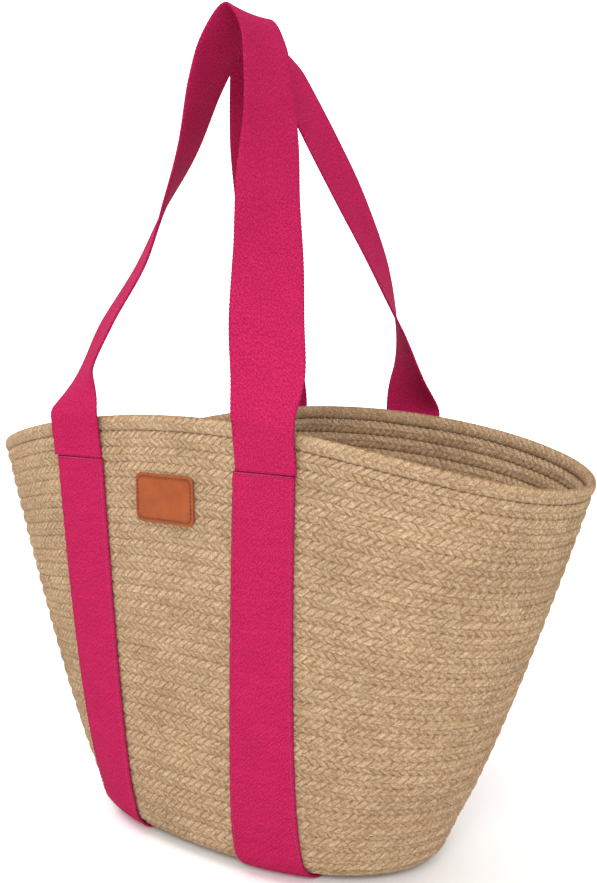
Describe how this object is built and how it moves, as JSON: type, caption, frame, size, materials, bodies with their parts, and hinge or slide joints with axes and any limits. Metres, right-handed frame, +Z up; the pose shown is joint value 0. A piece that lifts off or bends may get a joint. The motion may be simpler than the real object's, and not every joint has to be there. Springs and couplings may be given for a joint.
{
  "type": "beach bag",
  "caption": "Coiled jute braid beach bag with a boat-shaped mouth, webbing bands sewn round it, standing webbing handles and a small leather patch.",
  "frame": {"origin": "middle of the underside, on the surface that the bag stands on", "axes": "+X along the mouth, -Y the front with the leather patch, +Z up"},
  "size_m": [0.5068, 0.2303, 0.6063],
  "materials": {
    "jute_braid": "matte coarse jute braid",
    "webbing": "matte woven cotton webbing",
    "patch_leather": "smooth tan leather",
    "pink_thread": "matte sewing thread",
    "tan_thread": "matte sewing thread"
  },
  "bodies": {
    "bag": {"base_coil": "jute_braid", "wall_coil": "jute_braid", "rim_coil": "jute_braid", "left_band": "webbing", "right_band": "webbing", "leather_patch": "patch_leather", "patch_stitching": "tan_thread", "cross_seam_front_left": "pink_thread", "cross_seam_front_right": "pink_thread", "cross_seam_rear_left": "pink_thread", "cross_seam_rear_right": "pink_thread", "edge_seam_left_band_outer": "pink_thread", "edge_seam_left_band_inner": "pink_thread", "edge_seam_right_band_inner": "pink_thread", "edge_seam_right_band_outer": "pink_thread"},
    "front_handle_loop": {"front_handle": "webbing"},
    "rear_handle_loop": {"rear_handle": "webbing"}
  },
  "joints": [
    {"name": "front_handle_fold", "type": "hinge", "parent": "bag", "child": "front_handle_loop", "pos_m": [0, -0.1133, 0.28815], "axis": [1, 0, 0], "range_deg": [0, 145]},
    {"name": "rear_handle_fold", "type": "hinge", "parent": "bag", "child": "rear_handle_loop", "pos_m": [0, 0.1133, 0.28815], "axis": [-1, 0, 0], "range_deg": [0, 145]}
  ]
}
